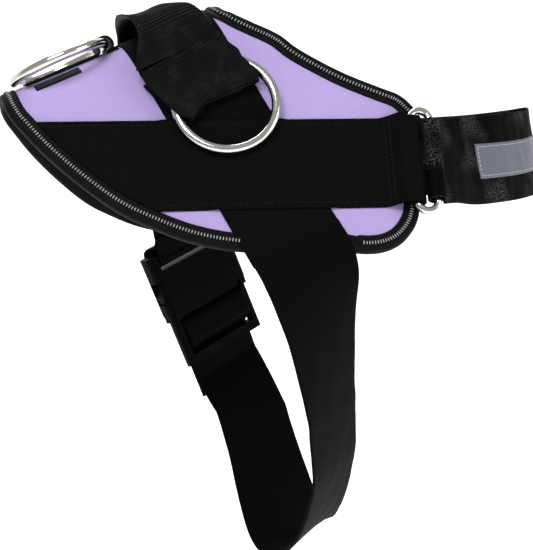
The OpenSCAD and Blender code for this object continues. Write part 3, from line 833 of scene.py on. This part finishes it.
def handle_arch():
    """Ribbed webbing over the ridge, gathered in its middle."""
    n_l, n_a = 330, 40
    a = np.linspace(-1, 1, n_a)
    top = np.array([resample_n(handle_line(x, 2.6), n_l) for x in a])
    low = np.array([resample_n(handle_line(x, 0.2), n_l) for x in a])
    mid = np.array(handle_line(0, 2.6))
    length = np.sum(np.linalg.norm(np.diff(mid, axis=0), axis=1))
    l = np.linspace(0, length, n_l)
    out = unit(top - low)
    sway = l[None] + 0.9 * noise(l[None], a[:, None] * 14, 33, 40)
    rib = np.cos(sway / RIB * math.tau) * 0.34
    edge = np.clip((1 - np.abs(a)) * 24 / 0.9, 0, 1) ** 0.5
    wob = 0.35 * noise(l[None], a[:, None] * 24, 31, 34)
    top = top + out * (rib[..., None] * edge[:, None, None] + wob[..., None] * edge[:, None, None] - 0.25)
    ends = np.clip(np.minimum(l, length - l) / 13, 0, 1)[None, :, None]
    top = low + (top - low) * (0.5 + 0.5 * ends * ends * (3 - 2 * ends))
    midp = (top + low) / 2
    top = midp + (top - midp) * edge[:, None, None]
    low = midp + (low - midp) * edge[:, None, None]
    sec = np.concatenate([top, low[::-1][1:-1]], 0).transpose(1, 0, 2)
    ax = np.r_[a, a[::-1][1:-1]]
    P = row(sec)
    v = np.r_[a * 24, a[::-1][1:-1] * 24 + 60]
    UV = np.stack([np.repeat(l[:, None], len(ax), 1), np.repeat(v[None], n_l, 0)], -1)
    o = tube_mesh("handle_web", P, UV)
    return finish_piece(o, M_RIB, "harness", ["grab_handle"])


def resample_n(p, n):
    """The same line with n even points."""
    p = np.asarray(p, float)
    d = np.r_[0, np.cumsum(np.linalg.norm(np.diff(p, axis=0), axis=1))]
    at = np.linspace(0, d[-1], n)
    return np.stack([np.interp(at, d, p[:, k]) for k in range(p.shape[1])], -1)


handle_arch()


def handle_loop(side, sign):
    """End of the handle webbing: down over the ring, round it and back up under it."""
    mid_t = (REAR_LO + FRONT_LO + 1.4) / 2
    rad = (FRONT_LO + 1.4 - REAR_LO) / 2 - 0.7
    low = RING_W - 8
    line = [[7.6, mid_t + rad, 47.6]]
    line += [[8.4 + k * (low - 8.4) / 5, mid_t + rad, 47.6 + k * 0.2] for k in range(5)]
    line += [[low + rad * math.sin(math.radians(k * 22.5)),
              mid_t + rad * math.cos(math.radians(k * 22.5)), 43.6] for k in range(9)]
    line += [[low - k * 6, mid_t - rad, 43.6 + k] for k in range(1, 5)]
    q = resample(spline(line, 6), 0.4)
    x = LEG_X + (RING_X - 0.6 - LEG_X) * np.minimum(q[:, 0] / low, 1) ** 2
    p = panel_pt(x, q[:, 0], q[:, 1], sign)
    place, length = path_place(p, np.repeat(row(np.array([1.0, 0, 0]))[None], len(p), 0))
    d = np.r_[0, np.cumsum(np.linalg.norm(np.diff(p, axis=0), axis=1))]

    def wide(l):
        return float(np.interp(l, d, q[:, 2]))

    def height(l, a, f):
        rib = 0.32 * np.cos((l + 0.8 * noise(l, a * 0.6, 43, 40)) / RIB * math.tau)
        return (rib + 0.15 * noise(l, a, 41, 20)) * (f - 0.5) * 2 * sign
    o = strap("handle_end_" + side, place, length, wide, 1.35, 0.4, 30, height)
    finish_piece(o, M_RIB, None, ["handle_loop_" + side])
    a = panel_pt(RING_X, 9, mid_t, sign) * 0.001
    b = panel_pt(RING_X, 40, mid_t, sign) * 0.001
    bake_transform(o)


handle_loop("right", 1)
handle_loop("left", -1)

# ---------------------------------------------------------------- chest strap
CHEST_DIR = unit([82, 62, -22])
C0 = BAR2 + CHEST_DIR * 6.2
chest_half = [C0, C0 + CHEST_DIR * 15, C0 + CHEST_DIR * 36, [160, -38, -105],
              [178, -25.5, -108], [191.5, -13, -109.5], [197.5, 0, -109.5]]
chest_w = [OVAL_UP, OVAL_UP, unit(OVAL_UP + [-0.1, -0.12, 0.4]), unit([0.14, 0.16, 1.0]),
           unit([0.1, 0.08, 1.0]), unit([0.09, 0.03, 1.0]), unit([0.09, 0, 1.0])]
chest_p = spline(np.vstack([chest_half, np.array(chest_half)[-2::-1] * FLIP]), 12)
chest_wv = spline(np.vstack([chest_w, np.array(chest_w)[-2::-1] * FLIP]), 12)
chest_place, chest_len = path_place(chest_p, chest_wv, True)


def chest_height(l, a, f):
    """Soft folds across the chest strap, gone at its two ends."""
    soft = 0.45 * noise(l, a * 0.7, 51, 42) + 0.22 * noise(l * 1.3, a, 52, 20)
    return np.clip(soft, -0.6, 0.6) * np.clip(np.minimum(l, chest_len - l) / 14, 0, 1)


o = strap("chest_web", chest_place, chest_len, 48.2, 1.15, 0.8, 44, chest_height)
finish_piece(o, M_CHEST, "harness", ["chest_strap"])
side_sign = np.sign(np.dot(chest_place(np.array([chest_len / 2]), np.array([0.0]), np.array([1.0]))[0]
                           - chest_place(np.array([chest_len / 2]), np.array([0.0]), np.array([0.0]))[0],
                           [1, 0, 0]))


def patch():
    """Reflective film on the front of the chest strap, and its stitches."""
    l0, l1 = chest_len / 2 - 82, chest_len / 2 + 82
    L, A = np.meshgrid(np.linspace(l0, l1, 200), np.linspace(-10.5, 8.5, 40), indexing="ij")
    e = np.minimum(np.minimum(L - l0, l1 - L), np.minimum(A + 10.5, 8.5 - A))
    H = side_sign * (0.62 + 0.35 * np.clip(e / 0.5, 0, 1)) + chest_height(L, A, 1) * 0.9
    film = chest_place(L.ravel(), A.ravel(), H.ravel()).reshape(*L.shape, 3)
    o = sheet_mesh("reflective_patch_film", film, np.stack([L, A], -1))
    finish_piece(o, M_REFLECT, "harness", ["reflective_patch"])
    P, D, N = [], [], []
    box = [[l0 + 2, -8.9], [l1 - 2, -8.9], [l1 - 2, 6.9], [l0 + 2, 6.9], [l0 + 2, -8.9]]
    for i in range(4):
        q = resample(np.array(box[i:i + 2]), 2.4)
        m, st = (q[1:] + q[:-1]) / 2, unit(q[1:] - q[:-1])
        h = side_sign * 1.0 + chest_height(m[:, 0], m[:, 1], 1) * 0.9
        p = chest_place(m[:, 0], m[:, 1], h)
        P.append(p)
        D.append(chest_place(m[:, 0] + st[:, 0] * 0.1, m[:, 1] + st[:, 1] * 0.1, h) - p)
        N.append(chest_place(m[:, 0], m[:, 1], h + side_sign * 0.3) - p)
    o = threads("patch_stitches", np.vstack(P), np.vstack(D), np.vstack(N), 1.7, 0.24)
    finish_piece(o, M_GREY_THREAD, "harness")


patch()
for side, flip in (("right", np.ones(3)), ("left", FLIP)):
    d = unit(CHEST_DIR - OVAL_UP * np.dot(CHEST_DIR, OVAL_UP))
    y = np.cross(OVAL_UP, d)
    ks = np.radians(np.linspace(28, 352, 40))
    arc = [BAR2 + d * 4.3 * math.cos(q) + y * 4.3 * math.sin(q) for q in ks]
    inner = BAR2 + y * 2.1
    flap = resample(np.array([inner + CHEST_DIR * 23.5, inner + CHEST_DIR * 9, arc[0]]), 1.0)
    pth = np.vstack([flap[:-1], arc]) * flip
    place, length = path_place(pth, np.repeat((OVAL_UP * flip)[None], len(pth), 0), True)
    o = strap("chest_end_" + side, place, length, 43.6, 1.3, 0.8, 24)
    finish_piece(o, M_CHEST, "tab_" + side, ["chest_tab_" + side])

# ---------------------------------------------------------------- girth strap
CUT = -206.0
SEAT, SEAT_LEAN, SEAT_YAW = np.array([6.5, 92, -156]), math.radians(-8), math.radians(22)


def in_buckle(v):
    """Points of the buckle's own frame, seated on the left side."""
    v = np.asarray(v, float)
    a = v[..., 0] * math.cos(SEAT_YAW) - v[..., 1] * math.sin(SEAT_YAW)
    b = v[..., 0] * math.sin(SEAT_YAW) + v[..., 1] * math.cos(SEAT_YAW)
    c, s = math.cos(SEAT_LEAN), math.sin(SEAT_LEAN)
    return SEAT + np.stack([a * c + v[..., 2] * s, b, v[..., 2] * c - a * s], -1)


BAR_W = in_buckle([1, 0, 0]) - SEAT
mid_t = (STRAP_LO + STRAP_HI) / 2
N0, N1 = side_pt(21.3, -114.4, STRAP_LO + 0.9), side_pt(22.3, -120, STRAP_LO + 0.9)
NA = side_pt(20.6, -110, mid_t + 0.1)
near = [NA, N0, N1, [22.6, N1[1] - 2.6, -127], [22.5, -85.5, -138], [22, -83, -156], [20.5, -76, -190],
        [19.4, -71.8, CUT]]
near_tw = [-4.7, -4.7, -4.7, 1, 12, 27, 39, 41]
loop = [[17, -61, -234], [11, -41, -262], [6, -19, -279], [4, 4, -285], [6, 28, -279], [11, 55, -260],
        [14.5, 77, -230]]
loop_tw = [43, 41, 37, 32, 27, 24, 22]
BAR_PATH = [[5.2, -46], [4.6, -36], [4.4, -28], [0, -24.6], [-4.4, -21], [-4.7, -14], [-4.4, -7.6],
            [0, -5.2], [4.8, -5.6], [6.9, -9], [7, -20], [7, -38], [7.4, -58]]


def twist(deg):
    deg = np.asarray(deg, float)
    return np.stack([np.cos(np.radians(deg)), np.sin(np.radians(deg)), np.zeros_like(deg)], -1)


girth_p = spline(np.vstack([near, loop]), 10)
girth_w = spline(twist(near_tw + loop_tw), 10)
up = np.array([in_buckle([0, q[0], q[1]]) for q in spline(BAR_PATH, 10)])
girth_p = np.vstack([girth_p, up])
girth_w = np.vstack([girth_w, np.repeat(BAR_W[None], len(up), 0)])
girth_place, girth_len = path_place(girth_p, girth_w)


def girth_height(l, a, f):
    return 0.10 * noise(l, a * 0.8, 61, 22) * np.clip((l - 6) / 10, 0, 1)


o = strap("girth_web", girth_place, girth_len, 49.5, 1.25, 1.0, 34, girth_height)
finish_piece(o, M_GIRTH, None, ["girth_strap_top", "girth_loop"])
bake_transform(o)

F0 = side_pt(5.7, -111.5, mid_t + 0.1) * FLIP
turn = [[-8, 42.6], [2, 42.4], [7.4, 39.8], [8, 36], [5.6, 32], [0, 30.4], [-5.2, 32], [-5.6, 37.6]]
tp = np.array([in_buckle([0, q[0], q[1]]) for q in spline(turn, 10)])
pth = np.vstack([resample(np.array([F0, tp[0]]), 1.0)[:-1], tp])
wv = np.vstack([np.linspace([1, 0.083, -0.05], BAR_W, len(pth) - len(tp)),
                np.repeat(BAR_W[None], len(tp), 0)])
place, length = path_place(pth, wv)
o = strap("buckle_side_web", place, length, 49.5, 1.25, 0.8, 24)
finish_piece(o, M_GIRTH, "harness", ["buckle_strap"])

# ---------------------------------------------------------------- buckle
for name in ("buckle_female", "buckle_male", "prong_front", "prong_rear"):
    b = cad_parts[name]
    b.data.materials.clear()
    b.data.materials.append(M_PLASTIC)
    mod = b.modifiers.new("soft_edges", "BEVEL")
    mod.width = 0.0012
    mod.segments = 3
    mod.limit_method = "ANGLE"
    mod.angle_limit = math.radians(35)

# ---------------------------------------------------------------- studio
def area(name, loc, target, size, power, color=(1, 1, 1)):
    light = bpy.data.lights.new(name, "AREA")
    light.shape = "RECTANGLE"
    light.size, light.size_y = size
    light.energy = power
    light.color = color
    o = bpy.data.objects.new(name, light)
    bpy.context.scene.collection.objects.link(o)
    d = Vector(target) - Vector(loc)
    o.location = loc
    o.rotation_euler = d.to_track_quat("-Z", "Y").to_euler()
    return o


def studio():
    """White sweep: a floor that curves up behind, a pale sky and three soft lights."""
    scene = bpy.context.scene
    prof = [(-4000, 0), (-1500, 0), (900, 0), (1300, 0)]
    prof += [(1300 + 900 * math.sin(math.radians(k)), 900 - 900 * math.cos(math.radians(k)))
             for k in range(10, 91, 10)]
    prof += [(2200, 2600)]
    P = np.array([[[x, y, z - 345] for x in (-6000, 6000)] for y, z in prof])
    floor = sheet_mesh("floor", P[:, ::-1], np.zeros((len(prof), 2, 2)))
    m, _, b = principled("floor_paper", (0.9, 0.9, 0.9), 0.9, 0, 0.1)
    b.inputs["Emission Color"].default_value = (1, 1, 1, 1)
    b.inputs["Emission Strength"].default_value = 0.55
    floor.data.materials.append(m)
    world = scene.world or bpy.data.worlds.new("studio")
    scene.world = world
    world.use_nodes = True
    bg = world.node_tree.nodes["Background"]
    bg.inputs["Color"].default_value = (1, 1, 1, 1)
    bg.inputs["Strength"].default_value = 0.42
    area("key", (-0.35, -0.9, 0.9), (0.02, 0, -0.12), (0.6, 0.4), 12)
    area("fill", (0.9, -0.8, 0.1), (0.05, 0, -0.12), (0.5, 0.7), 4)
    area("top", (0.1, 0.5, 1.1), (0, 0, -0.1), (0.7, 0.5), 8)
    scene.view_settings.view_transform = "Standard"
    scene.view_settings.exposure = 0.0


def camera():
    az, el, roll = math.radians(-15.37), math.radians(10.18), math.radians(13.79)
    dist, focal = 0.672, 1213.3 * 36 / 533
    back = Vector((math.sin(az) * math.cos(el), -math.cos(az) * math.cos(el), math.sin(el)))
    right = Vector((math.cos(az), math.sin(az), 0))
    up = back.cross(right)
    r = right * math.cos(roll) - up * math.sin(roll)
    u = right * math.sin(roll) + up * math.cos(roll)
    cam = bpy.data.cameras.new("camera")
    cam.lens, cam.sensor_width, cam.sensor_fit = focal, 36, "HORIZONTAL"
    o = bpy.data.objects.new("camera", cam)
    bpy.context.scene.collection.objects.link(o)
    place = Vector((0.0233, 0, -0.1372)) + back * dist
    o.matrix_world = Matrix(((r.x, u.x, back.x, place.x), (r.y, u.y, back.y, place.y),
                             (r.z, u.z, back.z, place.z), (0, 0, 0, 1)))
    bpy.context.scene.camera = o


studio()
camera()
